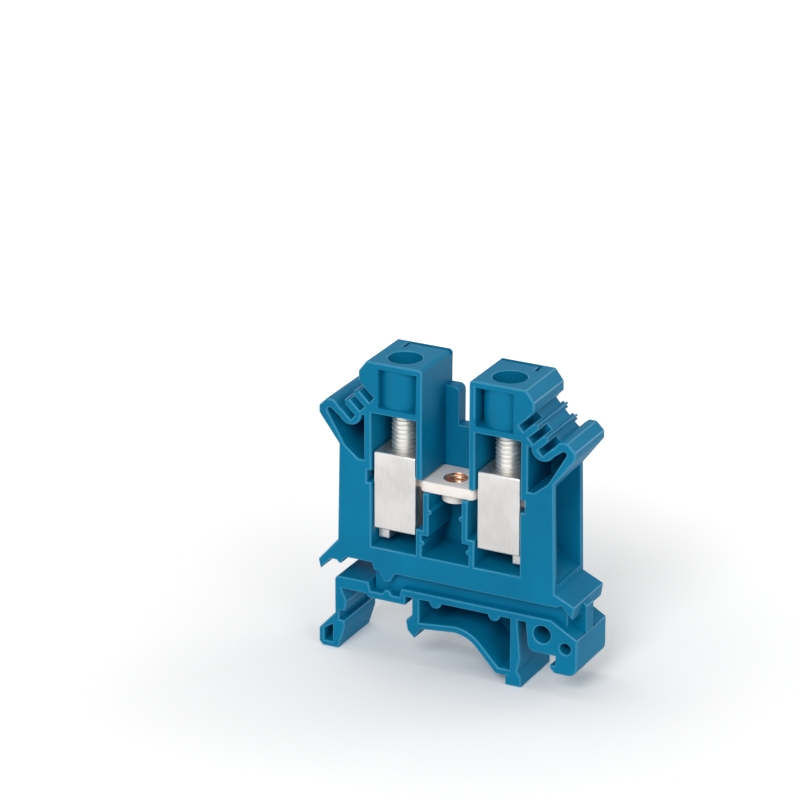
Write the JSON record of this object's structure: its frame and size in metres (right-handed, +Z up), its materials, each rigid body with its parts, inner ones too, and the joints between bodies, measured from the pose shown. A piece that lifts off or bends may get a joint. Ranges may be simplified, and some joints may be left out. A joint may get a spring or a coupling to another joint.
{
  "type": "feed-through terminal block",
  "caption": "Rail-mounted screw terminal block: a blue moulded housing with a current bar, clamp sleeves that rise as their screws turn, marker shoulders and a foot that clips on the rail.",
  "frame": {"origin": "middle of the block's outline at the height of the foot's soles", "axes": "+X along the wires, +Y along the rail towards the closed side, +Z up"},
  "size_m": [0.0426, 0.0102, 0.047],
  "materials": {
    "blue_polyamide": "moulded, satin",
    "tinned_copper": "tin plated",
    "plated_steel": "bright zinc plated",
    "screw_steel": "bright zinc plated"
  },
  "bodies": {
    "block": {"housing": "blue_polyamide", "current_bar": "tinned_copper"},
    "screw_left": {"clamp_screw_left": "screw_steel"},
    "screw_right": {"clamp_screw_right": "screw_steel"},
    "sleeve_left": {"clamp_sleeve_left": "plated_steel"},
    "sleeve_right": {"clamp_sleeve_right": "plated_steel"}
  },
  "joints": [
    {"name": "screw_left_turn", "type": "hinge", "parent": "block", "child": "screw_left", "pos_m": [-0.0087, -0.00115, 0.04], "axis": [0, 0, -1], "range_deg": [0, 2880]},
    {"name": "screw_right_turn", "type": "hinge", "parent": "block", "child": "screw_right", "pos_m": [0.0082, -0.00115, 0.04], "axis": [0, 0, -1], "range_deg": [0, 2880]},
    {"name": "sleeve_left_lift", "type": "slide", "parent": "block", "child": "sleeve_left", "axis": [0, 0, 1], "range_m": [0, 0.0056]},
    {"name": "sleeve_right_lift", "type": "slide", "parent": "block", "child": "sleeve_right", "axis": [0, 0, 1], "range_m": [0, 0.0056]}
  ],
  "couplings": [
    {"joint": "screw_left_turn", "follows": "sleeve_left_lift", "rad_per_m": 8976},
    {"joint": "screw_right_turn", "follows": "sleeve_right_lift", "rad_per_m": 8976}
  ]
}
